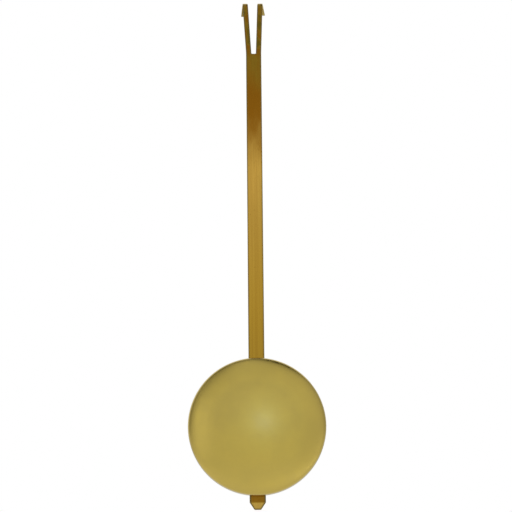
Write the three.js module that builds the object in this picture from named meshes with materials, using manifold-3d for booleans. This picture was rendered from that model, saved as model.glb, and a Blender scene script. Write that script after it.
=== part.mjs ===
import * as THREE from 'three';
import { mergeVertices } from 'three/addons/utils/BufferGeometryUtils.js';
import Module from 'manifold-3d';

// A small wall-clock pendulum. A flat brass stick hangs by a forked double hook on the cross
// pin of the clock's suspension. A round domed bob is clamped round the stick by a bowed leaf
// spring and slides on it, to set the rate.
// Millimetres, Z up. The bob's face looks along -Y. The origin is on the axis of the cross
// pin, in the middle of the stick's width.

// Stick
const stripWidth = 7;
const stripGauge = 0.9;
const stripEdgeBreak = 0.12;
const bobDrop = 197.5;
const tailDrop = 32.6;
const tailTipLength = 3.3;
const tailTipWidth = 2.8;
const tailTipRounding = 0.5;
const tailBendRadius = 0.5;
const tailBendDegrees = 26;

// Fork and hooks
const pinDiameter = 2;
const pinClearance = 0.15;
const forkDepth = 23.6;
const slotWidth = 2.1;
const slotCornerRadius = 0.4;
const leftProngLeanDegrees = 3.4;
const leftLegLeanDegrees = 6;
const leftLegLength = 3.6;
const rightProngLeanDegrees = 2;
const rightLegLeanDegrees = 11;
const rightLegLength = 3.1;

// Bob
const bobDiameter = 60;
const domeRadius = 105;
const shoulderRadius = 3.2;
const wallDepth = 1.4;
const shellGauge = 0.5;
const crimpInsideRadius = 0.25;
const lipWidth = 2.8;
const lipSink = 0.05;
const coverGauge = 0.6;
const coverEdgeClearance = 0.05;
const joggleWidth = 0.7;
const joggleClearance = 0.5;
const weightClearance = 0.3;
const weightEdgeBreak = 0.4;

// Friction clip behind the bob
const stickRunClearance = 0.05;
const stickSideClearance = 0.15;
const strapGauge = 0.6;
const strapHeight = 6;
const strapFootLength = 5.4;
const strapBendRadius = 0.3;
const strapCornerRadius = 1.2;
const strapSpacing = 34;
const springWidth = 4.4;
const springGauge = 0.3;
const springEdgeBreak = 0.05;
const springBow = 0.75;
const springRubClearance = 0.05;
const springEndClearance = 0.1;
const springBendRadius = 0.25;
const springTabHeight = 0.8;
const springSeatClearance = 0.05;
const rivetShankDiameter = 1.6;
const rivetHoleClearance = 0.1;
const rivetHeadDiameter = 3;
const rivetHeadHeight = 0.8;
const rivetTailDiameter = 2.6;
const rivetTailHeight = 0.4;
const rivetEdgeBreak = 0.12;

// How far a cutter reaches past the face it cuts, and a joined piece into its neighbour
const overrun = 1;

// Fineness of round forms
const bobSides = 72;
const domeSteps = 10;
const shoulderSteps = 7;
const crimpSteps = 3;
const hookSteps = 14;
const tailSteps = 4;
const springSteps = 10;
const bendSteps = 4;
const rivetSides = 20;
const rivetHeadSteps = 4;

// Planes across the thickness, from the stick's hooks forward to the bob's rim
const hookMidRadius = pinDiameter / 2 + pinClearance + stripGauge / 2;
const stickMid = -hookMidRadius;
const stickFront = stickMid - stripGauge / 2;
const stickBack = stickMid + stripGauge / 2;
const coverBack = stickFront - stickRunClearance;
const coverFront = coverBack - coverGauge;
const lipBack = coverBack - lipSink;
const flangeBack = lipBack - shellGauge;
const flangeFront = flangeBack - coverGauge;
const crimpCentre = flangeBack - crimpInsideRadius;
const shoulderCentre = crimpCentre - wallDepth;
const footOutside = coverBack + strapGauge;
const springMidY = stickBack + springRubClearance + springGauge / 2;
const springEndY = springMidY + springBow;
const bridgeInside = springEndY + springGauge / 2 + springSeatClearance;

// Heights along the stick
const slotRoot = -forkDepth;
const prongStart = slotRoot + slotCornerRadius;
const bobCentre = -bobDrop;
const tailCrease = bobCentre - tailDrop;
const strapPlaces = { upper: bobCentre + strapSpacing / 2, lower: bobCentre - strapSpacing / 2 };

// Places across the stick
const prongWidth = (stripWidth - slotWidth) / 2;
const prongMid = (slotWidth + prongWidth) / 2;
const strapInside = stripWidth / 2 + stickSideClearance;
const strapOutside = strapInside + strapGauge + strapBendRadius + strapFootLength;
const rivetX = strapOutside - strapFootLength / 2;

const wasm = await Module();
wasm.setup();

const finishes = {
  stickBrass: { color: 0xa07a34, roughness: 0.34, metalness: 1 },
  bobBrass: { color: 0xb09d4e, roughness: 0.3, metalness: 1 },
  coverBrass: { color: 0xa8904a, roughness: 0.42, metalness: 1 },
  strapBrass: { color: 0x9c8344, roughness: 0.45, metalness: 1 },
  castIron: { color: 0x4b4a48, roughness: 0.75, metalness: 0.6 },
  springSteel: { color: 0x8f9196, roughness: 0.32, metalness: 1 },
  rivetBrass: { color: 0xb59a52, roughness: 0.38, metalness: 1 },
};

const radians = (degrees) => THREE.MathUtils.degToRad(degrees);

// A closed geometry as a solid that can be joined and cut
function solidOf(geometry) {
  const bare = geometry.clone();
  bare.deleteAttribute('normal');
  bare.deleteAttribute('uv');
  const merged = mergeVertices(bare);
  const corners = Array.from(merged.index.array);
  const kept = [];
  for (let i = 0; i < corners.length; i += 3) {
    const [a, b, c] = corners.slice(i, i + 3);
    if (a !== b && b !== c && c !== a) kept.push(a, b, c);
  }
  const vertProperties = Float32Array.from(merged.attributes.position.array);
  return new wasm.Manifold(
    new wasm.Mesh({ numProp: 3, vertProperties, triVerts: Uint32Array.from(kept) }),
  );
}

function geometryOf(solid) {
  const { vertProperties, triVerts } = solid.getMesh();
  const indexed = new THREE.BufferGeometry();
  indexed.setAttribute('position', new THREE.BufferAttribute(vertProperties, 3));
  indexed.setIndex(new THREE.BufferAttribute(triVerts, 1));
  const geometry = indexed.toNonIndexed();
  geometry.computeVertexNormals();
  return geometry;
}

// Sheet metal bent in the YZ plane. Each station holds the middle of the sheet (x, y, z), half
// its width along X, and the turn of its back face from +Y towards +Z. The corners are broken.
function bentStrip(stations, gauge, edgeBreak) {
  const positions = [];
  for (const { x, y, z, halfWidth, turn } of stations) {
    const [w, h] = [halfWidth, gauge / 2];
    const [wIn, hIn] = [w - edgeBreak, h - edgeBreak];
    const section = [[wIn, h], [w, hIn], [w, -hIn], [wIn, -h], [-wIn, -h], [-w, -hIn], [-w, hIn], [-wIn, h]];
    for (const [across, through] of section) {
      positions.push(x + across, y + through * Math.cos(turn), z + through * Math.sin(turn));
    }
  }
  const corners = positions.length / 3 / stations.length;
  const last = (stations.length - 1) * corners;
  const index = [];
  for (let i = 0; i < stations.length - 1; i++) {
    for (let j = 0; j < corners; j++) {
      const here = i * corners + j;
      const next = i * corners + ((j + 1) % corners);
      index.push(here, next + corners, next, here, here + corners, next + corners);
    }
  }
  for (let j = 1; j < corners - 1; j++) {
    index.push(0, j, j + 1, last, last + j + 1, last + j);
  }
  const geometry = new THREE.BufferGeometry();
  geometry.setAttribute('position', new THREE.Float32BufferAttribute(positions, 3));
  geometry.setIndex(index);
  geometry.computeVertexNormals();
  return geometry;
}

// The flat part of the stick, from the tail's crease to the bottom of the slot
function stickBlank() {
  const half = stripWidth / 2;
  const outline = new THREE.Shape();
  outline.moveTo(-half, tailCrease);
  outline.lineTo(half, tailCrease);
  outline.lineTo(half, prongStart);
  outline.lineTo(slotWidth / 2, prongStart);
  const filletX = slotWidth / 2 - slotCornerRadius;
  outline.absarc(filletX, prongStart, slotCornerRadius, 0, -Math.PI / 2, true);
  outline.absarc(-filletX, prongStart, slotCornerRadius, -Math.PI / 2, -Math.PI, true);
  outline.lineTo(-half, prongStart);
  const geometry = new THREE.ExtrudeGeometry(outline, {
    depth: stripGauge - 2 * stripEdgeBreak,
    bevelThickness: stripEdgeBreak,
    bevelSize: stripEdgeBreak,
    bevelOffset: -stripEdgeBreak,
    bevelSegments: 1,
    curveSegments: bendSteps,
  });
  geometry.rotateX(Math.PI / 2);
  return geometry.translate(0, stickBack - stripEdgeBreak, 0);
}

// One prong of the fork: it leans out from the slot, is bent back over the pin in a half turn,
// and ends in a short leg that leans out further. side is -1 for the left and 1 for the right.
function hookedProng(side, prongLean, legLean, legLength) {
  const station = (x, y, z, turn) => ({ x: side * x, y, z, turn, halfWidth: prongWidth / 2 });
  const bendStartX = prongMid - prongStart * Math.tan(prongLean);
  const stations = [
    station(prongMid, stickMid, slotRoot - overrun, 0),
    station(prongMid, stickMid, prongStart, 0),
    station(bendStartX, stickMid, 0, 0),
  ];
  let x = bendStartX;
  for (let i = 1; i <= hookSteps; i++) {
    const turn = (-Math.PI * i) / hookSteps;
    const lean = THREE.MathUtils.lerp(prongLean, legLean, (i - 0.5) / hookSteps);
    x += ((hookMidRadius * Math.PI) / hookSteps) * Math.tan(lean);
    stations.push(station(x, -hookMidRadius * Math.cos(turn), -hookMidRadius * Math.sin(turn), turn));
  }
  stations.push(station(x + legLength * Math.tan(legLean), hookMidRadius, -legLength, -Math.PI));
  return bentStrip(stations, stripGauge, stripEdgeBreak);
}

// The end of the stick below the crease: a tapered, rounded tip, bent back as a stop for the bob
function tailTip() {
  const bend = radians(tailBendDegrees);
  const bendMidRadius = tailBendRadius + stripGauge / 2;
  const straight = tailTipLength - bendMidRadius * bend;
  const [tipHalf, stripHalf] = [tailTipWidth / 2, stripWidth / 2];
  const onBend = (turn) => ({
    y: stickMid + bendMidRadius * (1 - Math.cos(turn)),
    z: tailCrease - bendMidRadius * Math.sin(turn),
    turn,
    fromTip: tailTipLength - bendMidRadius * turn,
  });
  const foot = onBend(bend);
  const onTip = (fromTip) => ({
    y: foot.y + (straight - fromTip) * Math.sin(bend),
    z: foot.z - (straight - fromTip) * Math.cos(bend),
    turn: bend,
    fromTip,
  });
  const halfWidth = (fromTip) => {
    if (fromTip >= tailTipRounding) {
      const share = (fromTip - tailTipRounding) / (tailTipLength - tailTipRounding);
      return THREE.MathUtils.lerp(tipHalf, stripHalf, share);
    }
    return tipHalf - tailTipRounding + Math.sqrt(tailTipRounding ** 2 - (tailTipRounding - fromTip) ** 2);
  };
  const places = [];
  for (let i = 0; i <= tailSteps; i++) {
    places.push(onTip(tailTipRounding * (1 - Math.cos((Math.PI / 2) * (i / tailSteps)))));
  }
  for (let i = 0; i <= tailSteps; i++) places.push(onBend(bend * (1 - i / tailSteps)));
  const stations = places.map(({ y, z, turn, fromTip }) => ({ x: 0, y, z, turn, halfWidth: halfWidth(fromTip) }));
  stations.push({ x: 0, y: stickMid, z: tailCrease + overrun, turn: 0, halfWidth: stripHalf });
  return bentStrip(stations, stripGauge, stripEdgeBreak);
}

function pendulumStick() {
  const left = hookedProng(-1, radians(leftProngLeanDegrees), radians(leftLegLeanDegrees), leftLegLength);
  const right = hookedProng(1, radians(rightProngLeanDegrees), radians(rightLegLeanDegrees), rightLegLength);
  const pieces = [stickBlank(), tailTip(), left, right].map(solidOf);
  return geometryOf(pieces.reduce((whole, piece) => whole.add(piece)));
}

// The rounded face of the bob from the axis to the side wall, as radius and height: a wide dome
// that runs smoothly into the shoulder. inset is the distance in from the outer surface.
function facePoints(inset) {
  const shoulderX = bobDiameter / 2 - shoulderRadius;
  const slope = Math.asin(shoulderX / (domeRadius - shoulderRadius));
  const domeCentre = shoulderCentre + (domeRadius - shoulderRadius) * Math.cos(slope);
  const points = [];
  for (let i = 0; i <= domeSteps; i++) {
    const angle = (slope * i) / domeSteps;
    const r = domeRadius - inset;
    points.push(new THREE.Vector2(r * Math.sin(angle), domeCentre - r * Math.cos(angle)));
  }
  for (let i = 1; i <= shoulderSteps; i++) {
    const angle = THREE.MathUtils.lerp(slope, Math.PI / 2, i / shoulderSteps);
    const r = shoulderRadius - inset;
    points.push(new THREE.Vector2(shoulderX + r * Math.sin(angle), shoulderCentre - r * Math.cos(angle)));
  }
  return points;
}

// Points of the crimp, where the side wall turns in behind the cover
function crimpPoints(inset) {
  const outside = crimpInsideRadius + shellGauge;
  const centreX = bobDiameter / 2 - outside;
  const points = [];
  for (let i = 0; i <= crimpSteps; i++) {
    const angle = ((Math.PI / 2) * i) / crimpSteps;
    const r = outside - inset;
    points.push(new THREE.Vector2(centreX + r * Math.cos(angle), crimpCentre + r * Math.sin(angle)));
  }
  return points;
}

// Pressed face of the bob: dome, shoulder, side wall and the lip that is crimped over the cover
function bobFaceShell() {
  const lipEdge = bobDiameter / 2 - lipWidth;
  const outside = [...facePoints(0), ...crimpPoints(0), new THREE.Vector2(lipEdge, lipBack)];
  const inside = [...facePoints(shellGauge), ...crimpPoints(shellGauge), new THREE.Vector2(lipEdge, flangeBack)];
  return new THREE.LatheGeometry([...outside, ...inside.reverse()], bobSides);
}

// Cast slug that fills the dome and lies against the flange of the cover
function bobWeight() {
  const inset = shellGauge + weightClearance;
  const radius = bobDiameter / 2 - inset;
  const profile = [
    ...facePoints(inset),
    new THREE.Vector2(radius, flangeFront - weightEdgeBreak),
    new THREE.Vector2(radius - weightEdgeBreak, flangeFront),
    new THREE.Vector2(0, flangeFront),
  ];
  return new THREE.LatheGeometry(profile, bobSides);
}

// Back cover: a disc whose flange is stepped forward, so that the crimped lip lies just below
// the middle and the stick passes over both. It has a hole for each rivet.
function bobBackCover() {
  const edge = bobDiameter / 2 - shellGauge - crimpInsideRadius - coverEdgeClearance;
  const step = bobDiameter / 2 - lipWidth - joggleClearance;
  const profile = [
    new THREE.Vector2(0, coverFront),
    new THREE.Vector2(step - joggleWidth - coverGauge, coverFront),
    new THREE.Vector2(step - coverGauge, flangeFront),
    new THREE.Vector2(edge, flangeFront),
    new THREE.Vector2(edge, flangeBack),
    new THREE.Vector2(step, flangeBack),
    new THREE.Vector2(step - joggleWidth, coverBack),
    new THREE.Vector2(0, coverBack),
  ];
  let cover = solidOf(new THREE.LatheGeometry(profile, bobSides));
  for (const z of Object.values(strapPlaces)) {
    for (const side of [-1, 1]) {
      cover = cover.subtract(rivetHole(side * rivetX, z - bobCentre));
    }
  }
  return geometryOf(cover);
}

function rivetHole(x, z) {
  const radius = rivetShankDiameter / 2 + rivetHoleClearance;
  const length = coverGauge + strapGauge + 2 * overrun;
  const hole = new THREE.CylinderGeometry(radius, radius, length, rivetSides);
  return solidOf(hole.translate(x, coverBack, z));
}

// Section of a guide strap: two feet on the cover and a bridge over the stick and the spring
function strapSection() {
  const outer = strapBendRadius + strapGauge;
  const half = new THREE.Path();
  half.moveTo(0, bridgeInside);
  const insideBend = strapInside - strapBendRadius;
  half.absarc(insideBend, bridgeInside - strapBendRadius, strapBendRadius, Math.PI / 2, 0, true);
  half.absarc(strapInside + outer, coverBack + outer, outer, Math.PI, Math.PI * 1.5, false);
  half.lineTo(strapOutside, coverBack);
  half.lineTo(strapOutside, footOutside);
  half.absarc(strapInside + outer, coverBack + outer, strapBendRadius, Math.PI * 1.5, Math.PI, true);
  half.absarc(insideBend, bridgeInside - strapBendRadius, outer, 0, Math.PI / 2, false);
  half.lineTo(0, bridgeInside + strapGauge);
  const right = half.getPoints(bendSteps);
  const left = right.slice(1, -1).map((p) => new THREE.Vector2(-p.x, p.y));
  return new THREE.Shape([...right, ...left.reverse()]);
}

// Outline of a strap seen from behind, with rounded foot corners
function strapOutline() {
  const [w, h, r] = [strapOutside, strapHeight / 2, strapCornerRadius];
  const outline = new THREE.Shape();
  outline.absarc(w - r, h - r, r, 0, Math.PI / 2, false);
  outline.absarc(-w + r, h - r, r, Math.PI / 2, Math.PI, false);
  outline.absarc(-w + r, -h + r, r, Math.PI, Math.PI * 1.5, false);
  outline.absarc(w - r, -h + r, r, Math.PI * 1.5, Math.PI * 2, false);
  return outline;
}

function guideStrap() {
  const bridgeRise = bridgeInside + strapGauge - coverBack;
  const bent = new THREE.ExtrudeGeometry(strapSection(), { depth: strapHeight, bevelEnabled: false });
  bent.translate(0, 0, -strapHeight / 2);
  const cut = new THREE.ExtrudeGeometry(strapOutline(), {
    depth: bridgeRise + 2 * overrun,
    bevelEnabled: false,
    curveSegments: bendSteps,
  });
  cut.rotateX(-Math.PI / 2);
  cut.translate(0, coverBack - overrun, 0);
  let strap = solidOf(bent).intersect(solidOf(cut));
  for (const side of [-1, 1]) strap = strap.subtract(rivetHole(side * rivetX, 0));
  return geometryOf(strap);
}

// Leaf spring: bowed against the back of the stick in the middle, its ends under the two
// bridges and turned out past them, so that it stays in place when the bob slides.
function frictionSpring() {
  const strapEdge = strapSpacing / 2 - strapHeight / 2;
  const tabMidRadius = springBendRadius + springGauge / 2;
  const tabX = strapSpacing / 2 + strapHeight / 2 + springEndClearance + springGauge / 2;
  const bendStart = tabX - tabMidRadius;
  const tabTop = bridgeInside + strapGauge + springTabHeight;
  const halfSpan = [];
  for (let i = 0; i <= springSteps; i++) {
    const share = i / springSteps;
    const slope = (Math.sin(Math.PI * share) * springBow * Math.PI) / 2 / strapEdge;
    halfSpan.push({
      y: springMidY + (springBow * (1 - Math.cos(Math.PI * share))) / 2,
      z: strapEdge * share,
      turn: -Math.atan(slope),
    });
  }
  for (let i = 0; i <= bendSteps; i++) {
    const turn = (-Math.PI / 2) * (i / bendSteps);
    halfSpan.push({
      y: springEndY + tabMidRadius * (1 - Math.cos(turn)),
      z: bendStart - tabMidRadius * Math.sin(turn),
      turn,
    });
  }
  halfSpan.push({ y: tabTop, z: tabX, turn: -Math.PI / 2 });
  const lowerHalf = halfSpan.slice(1).map(({ y, z, turn }) => ({ y, z: -z, turn: -turn }));
  const path = [...lowerHalf.reverse(), ...halfSpan];
  const stations = path.map((place) => ({ x: 0, halfWidth: springWidth / 2, ...place }));
  return bentStrip(stations, springGauge, springEdgeBreak);
}

// Rivet through a strap's foot and the cover: a low domed head behind, a flat tail inside
function strapRivet() {
  const shank = rivetShankDiameter / 2;
  const tail = rivetTailDiameter / 2;
  const head = rivetHeadDiameter / 2;
  const tailEnd = coverFront - rivetTailHeight;
  const profile = [
    new THREE.Vector2(0, tailEnd),
    new THREE.Vector2(tail - rivetEdgeBreak, tailEnd),
    new THREE.Vector2(tail, tailEnd + rivetEdgeBreak),
    new THREE.Vector2(tail, coverFront),
    new THREE.Vector2(shank, coverFront),
    new THREE.Vector2(shank, footOutside),
    new THREE.Vector2(head, footOutside),
  ];
  for (let i = 0; i <= rivetHeadSteps; i++) {
    const angle = ((Math.PI / 2) * i) / rivetHeadSteps;
    const rise = rivetEdgeBreak + (rivetHeadHeight - rivetEdgeBreak) * Math.sin(angle);
    profile.push(new THREE.Vector2(head * Math.cos(angle), footOutside + rise));
  }
  return new THREE.LatheGeometry(profile, rivetSides);
}

function named(name, geometry, finish) {
  const mesh = new THREE.Mesh(geometry, new THREE.MeshStandardMaterial(finish));
  mesh.name = name;
  return mesh;
}

const bob = new THREE.Group();
bob.name = 'bob';
bob.position.z = bobCentre;
bob.add(
  named('bob_face_shell', bobFaceShell(), finishes.bobBrass),
  named('bob_weight', bobWeight(), finishes.castIron),
  named('bob_back_cover', bobBackCover(), finishes.coverBrass),
  named('friction_spring', frictionSpring(), finishes.springSteel),
);

for (const [place, z] of Object.entries(strapPlaces)) {
  const strap = named(`${place}_guide_strap`, guideStrap(), finishes.strapBrass);
  strap.position.z = z - bobCentre;
  bob.add(strap);
  for (const [hand, side] of [['left', -1], ['right', 1]]) {
    const rivet = named(`${place}_${hand}_strap_rivet`, strapRivet(), finishes.rivetBrass);
    rivet.position.set(side * rivetX, 0, z - bobCentre);
    bob.add(rivet);
  }
}

const pendulum = new THREE.Group();
pendulum.name = 'pendulum';
pendulum.add(named('pendulum_stick', pendulumStick(), finishes.stickBrass), bob);

export default pendulum;
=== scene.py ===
"""The looks of a small wall-clock pendulum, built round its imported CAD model.

A flat brass stick ends in a forked double hook, and a round domed brass bob slides on it,
held by a bowed leaf spring. Everything is in metres, in the model's own frame: the stick
hangs along Z, the bob's face looks along -Y, and the cross pin's axis is at the origin.
"""
import math

import bmesh
import bpy
from bpy.props import FloatProperty, FloatVectorProperty, IntProperty, PointerProperty
from mathutils import Euler, Matrix, Vector


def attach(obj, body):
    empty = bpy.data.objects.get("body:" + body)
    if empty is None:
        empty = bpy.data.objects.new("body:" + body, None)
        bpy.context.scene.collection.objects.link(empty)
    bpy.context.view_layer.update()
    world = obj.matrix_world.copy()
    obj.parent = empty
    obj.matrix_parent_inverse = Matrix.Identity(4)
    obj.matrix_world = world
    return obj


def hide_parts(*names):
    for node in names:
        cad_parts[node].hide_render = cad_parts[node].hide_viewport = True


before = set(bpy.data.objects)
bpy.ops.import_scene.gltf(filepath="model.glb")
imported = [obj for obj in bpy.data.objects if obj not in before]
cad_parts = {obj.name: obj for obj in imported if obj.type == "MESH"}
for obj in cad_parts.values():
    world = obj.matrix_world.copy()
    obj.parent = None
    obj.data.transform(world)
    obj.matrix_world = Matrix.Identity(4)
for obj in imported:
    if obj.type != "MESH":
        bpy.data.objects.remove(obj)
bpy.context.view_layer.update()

bl_info = {
    "name": "Clock Pendulum",
    "version": (1, 0, 0),
    "blender": (4, 5, 0),
    "location": "3D View > Sidebar > Pendulum",
    "description": "Builds the visible pieces of a wall-clock pendulum on its CAD model",
    "category": "Object",
}

QUARTER = math.pi / 2
METAL = {"Metallic": 1.0}


def mm(value):
    """Millimetres in metres."""
    return value / 1000


# How fine the shapes are: steps along a curve, and sides of what is round
DOME_STEPS, SHOULDER_STEPS = 44, 40
HOOK_STEPS, BOW_STEPS = 28, 20
BEND_STEPS, CORNER_STEPS, RIM_STEPS, HEAD_STEPS = 6, 8, 10, 12
HOLE_TURNS, RIVET_TURNS = 32, 48

# How sharp an edge is that gets rounded, and one that stays sharp in the shading
EDGE_ANGLE = math.radians(50)
SHARP_ANGLE = math.radians(38)

# The fall of the shoulder's radius is found between these two by halving, this many times
LEAST_FALL, MOST_FALL, HALVINGS = 1.0, 80.0, 40

# Roundings: the lip's two edges, the cover's step and edge, and a rivet's set end and head
LIP_BACK, LIP_FRONT = mm(0.16), mm(0.08)
STEP_WIDE, STEP_TIGHT, COVER_EDGE = mm(0.7), mm(0.3), mm(0.1)
SET_EDGE, SET_FOOT, HEAD_FOOT = mm(0.12), mm(0.02), mm(0.04)

# The camera's sensor in millimetres, and its clipping distances
SENSOR_WIDTH = 36
CAMERA_CLIP = (0.01, 20)

# The studio room, in metres from the middle: side walls, front wall, ceiling, and the back end of
# the right wall
ROOM_SIDE, ROOM_FRONT, ROOM_TOP, RIGHT_END = 0.55, 0.76, 0.45, 0.4

# The light of the room's walls, which only gloss shows. A rise holds the place where it starts,
# the place where it ends, and the brightness or the share of light at each of the two. A band
# holds its two edges and how soft they are. The strip beside the window is a little dimmer.
COLUMN_BAND = (-0.05, 0.05, mm(15))
COLUMN_RISES = (
    (-0.04, 0.08, 0.72, 0.97),
    (0.12, 0.168, 0.0, 0.45),
    (0.163, 0.212, 0.0, -0.65),
    (0.255, 0.275, 0.0, -0.17),
)
FRONT_RISE = (-0.26, -0.08, 0.73, 0.9)
FOOT_SLOPE = 0.4
LEFT_CORNER = (0.54, 0.8, 1.0, 0.44)
RIGHT_CORNER = (0.5, 0.75, 1.0, 0.84)
WINDOW_ACROSS = (-0.485, -0.435, mm(15))
WINDOW_UP = (-0.24, 0.12, mm(80))
WINDOW_LIGHT = 2.35
STRIP_ACROSS = (-0.4, -0.3, mm(20))
STRIP_UP = (-0.24, 0.06, mm(80))
STRIP_SHARES = (1.0, 0.8)
BACK_RISE = (-0.25, 0.3, 0.45, 0.95)
CEILING_ALONG = (-0.5, -0.3, 0.9, 0.35)
CEILING_LEFT = (-0.3, -0.16, 0.44, 1.0)
CEILING_RIGHT = (0.0, 0.06, 1.0, 0.8)
CEILING_DARK_ACROSS = (0.1, 0.36, mm(50))
CEILING_DARK_ALONG = (-0.58, -0.44)

# The side walls: where the foot and the rear end, and for the front end and the rear of each wall
# the brightness at the foot and above it
SIDE_FOOT = (-0.24, -0.12)
REAR_START = (-0.5, -0.3)
LEFT_WALL = ((1.0, 0.56), (0.8, 0.35))
RIGHT_WALL = ((1.0, 0.76), (0.8, 0.55))

# The floor in gloss: the brightness far and near, and the lit pool at the right
FLOOR_ROUGHNESS = 0.8
FLOOR_LIGHT = (0.71, 0.96)
NEAR_EDGE = (0.5, 0.56, 1.0, 0.0)
NEAR_SIDES = (-0.2, 0.0, 1.1, 0.9)
POOL_RING = (0.33, 0.5, mm(50))
POOL_SIDE = (0.0, 0.3)
POOL_BACK = (-0.3, -0.15, 1.0, 0.0)
POOL_LIGHT = 1.48


def length(name, description, default):
    """A size in metres."""
    return FloatProperty(
        name=name, description=description, default=default, unit="LENGTH", subtype="DISTANCE", precision=5
    )


def angle(name, description, degrees):
    """An angle, given in degrees and kept in radians."""
    return FloatProperty(
        name=name, description=description, default=math.radians(degrees), unit="ROTATION", subtype="ANGLE"
    )


def colour(name, description, default):
    """A colour in linear light."""
    return FloatVectorProperty(
        name=name, description=description, default=default, size=3, min=0, max=1, subtype="COLOR"
    )


def position(name, description, default):
    """A place in the frame."""
    return FloatVectorProperty(
        name=name, description=description, default=default, size=3, unit="LENGTH", subtype="TRANSLATION"
    )


def factor(name, description, default, most=1):
    """A plain number from 0 up."""
    return FloatProperty(
        name=name, description=description, default=default, min=0, max=most, subtype="FACTOR"
    )


class StickSizes(bpy.types.PropertyGroup):
    """Sizes of the stick, its fork and its tail."""

    strip_width: length("Strip width", "Width of the flat strip", mm(7))
    strip_gauge: length("Strip gauge", "Thickness of the flat strip", mm(0.9))
    edge_radius: length("Edge radius", "Rounding of the strip's edges", mm(0.3))
    pin_diameter: length("Pin diameter", "Cross pin that the hooks hang on", mm(2))
    pin_clearance: length("Pin clearance", "Room between the pin and a hook", mm(0.15))
    tail_drop: length("Tail drop", "From the bob's centre down to the tail's crease", mm(32.6))
    tip_length: length("Tip length", "Length of the tapered tail", mm(3.3))
    tip_width: length("Tip width", "Width at the end of the tail", mm(2.8))
    tip_rounding: length("Tip rounding", "Corner radius at the end of the tail", mm(0.5))
    tail_bend_radius: length("Tail bend radius", "Inside radius of the tail's crease", mm(0.5))
    tail_bend: angle("Tail bend", "How far the tail is bent back", 26)
    fork_depth: length("Fork depth", "From the pin's axis down to the bottom of the slot", mm(23.6))
    slot_width: length("Slot width", "Width of the slot at its bottom", mm(2.1))
    slot_corner: length("Slot corner", "Corner radius at the bottom of the slot", mm(0.4))
    left_prong_lean: angle("Left prong lean", "Lean of the left prong, outwards", 3.4)
    left_leg_lean: angle("Left leg lean", "Lean of the left hook's leg, outwards", 6)
    left_leg: length("Left leg", "Length of the left hook's leg", mm(3.6))
    right_prong_lean: angle("Right prong lean", "Lean of the right prong, outwards", 2)
    right_leg_lean: angle("Right leg lean", "Lean of the right hook's leg, outwards", 11)
    right_leg: length("Right leg", "Length of the right hook's leg", mm(3.1))


class BobSizes(bpy.types.PropertyGroup):
    """Sizes of the bob's pressed face and its back cover."""

    drop: length("Drop", "From the pin's axis down to the bob's centre", mm(197.5))
    diameter: length("Diameter", "Across the bob", mm(60))
    dome_radius: length("Dome radius", "Radius of the wide dome", mm(105))
    shoulder_radius: length("Shoulder radius", "Radius that joins dome and side wall", mm(3.2))
    shoulder_start: length("Shoulder start", "Radius at which the dome starts to bend over", mm(22))
    shoulder_end: length("Shoulder end", "Radius of the bend where it meets the side wall", mm(2))
    wall_depth: length("Wall depth", "Height of the straight side wall", mm(1.4))
    shell_gauge: length("Shell gauge", "Thickness of the pressed face", mm(0.5))
    crimp_radius: length("Crimp radius", "Inside radius where the wall turns in", mm(0.25))
    lip_width: length("Lip width", "How far the lip reaches in from the rim", mm(2.8))
    lip_sink: length("Lip sink", "How far the lip lies below the cover's middle", mm(0.05))
    cover_gauge: length("Cover gauge", "Thickness of the back cover", mm(0.6))
    cover_clearance: length("Cover clearance", "Room between the cover's edge and the wall", mm(0.05))
    joggle_width: length("Joggle width", "Width of the cover's sloped step", mm(0.7))
    joggle_clearance: length("Joggle clearance", "Room between the lip and the step", mm(0.5))
    turns: IntProperty(name="Turns", description="Faces round the bob", default=256, min=32, max=512)


class ClipSizes(bpy.types.PropertyGroup):
    """Sizes of the friction clip behind the bob: straps, leaf spring and rivets."""

    run_clearance: length("Run clearance", "Room between the stick and the cover", mm(0.05))
    side_clearance: length("Side clearance", "Room between the stick's edges and a strap", mm(0.15))
    strap_gauge: length("Strap gauge", "Thickness of a guide strap", mm(0.6))
    strap_height: length("Strap height", "Height of a guide strap along the stick", mm(6))
    foot_length: length("Foot length", "Flat length of a strap's foot", mm(5.4))
    strap_bend: length("Strap bend", "Inside radius of a strap's bends", mm(0.3))
    strap_corner: length("Strap corner", "Corner radius of a strap's feet", mm(1.2))
    strap_spacing: length("Strap spacing", "Between the middles of the two straps", mm(34))
    strap_edge: length("Strap edge", "Rounding of a strap's edges", mm(0.08))
    spring_width: length("Spring width", "Width of the leaf spring", mm(4.4))
    spring_gauge: length("Spring gauge", "Thickness of the leaf spring", mm(0.3))
    spring_edge: length("Spring edge", "Rounding of the leaf spring's edges", mm(0.05))
    spring_bow: length("Spring bow", "How far the spring bows towards the stick", mm(0.75))
    spring_clearance: length("Spring clearance", "Room between spring and stick, or strap", mm(0.05))
    spring_end: length("Spring end", "Room between a turned end and its strap", mm(0.1))
    spring_bend: length("Spring bend", "Inside radius of the turned ends", mm(0.25))
    spring_tab: length("Spring tab", "How far a turned end stands above its strap", mm(0.8))
    spring_corner: length("Spring corner", "Corner radius of the turned ends", mm(0.6))
    shank_diameter: length("Shank diameter", "Across a rivet's shank", mm(1.6))
    hole_clearance: length("Hole clearance", "Room round a rivet's shank", mm(0.1))
    head_diameter: length("Head diameter", "Across a rivet's head", mm(3))
    head_height: length("Head height", "Height of a rivet's head", mm(0.8))
    set_diameter: length("Set diameter", "Across a rivet's set end, inside the bob", mm(2.6))
    set_height: length("Set height", "Height of a rivet's set end", mm(0.4))
    head_edge: length("Head edge", "Straight edge below a rivet's dome", mm(0.12))


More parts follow.
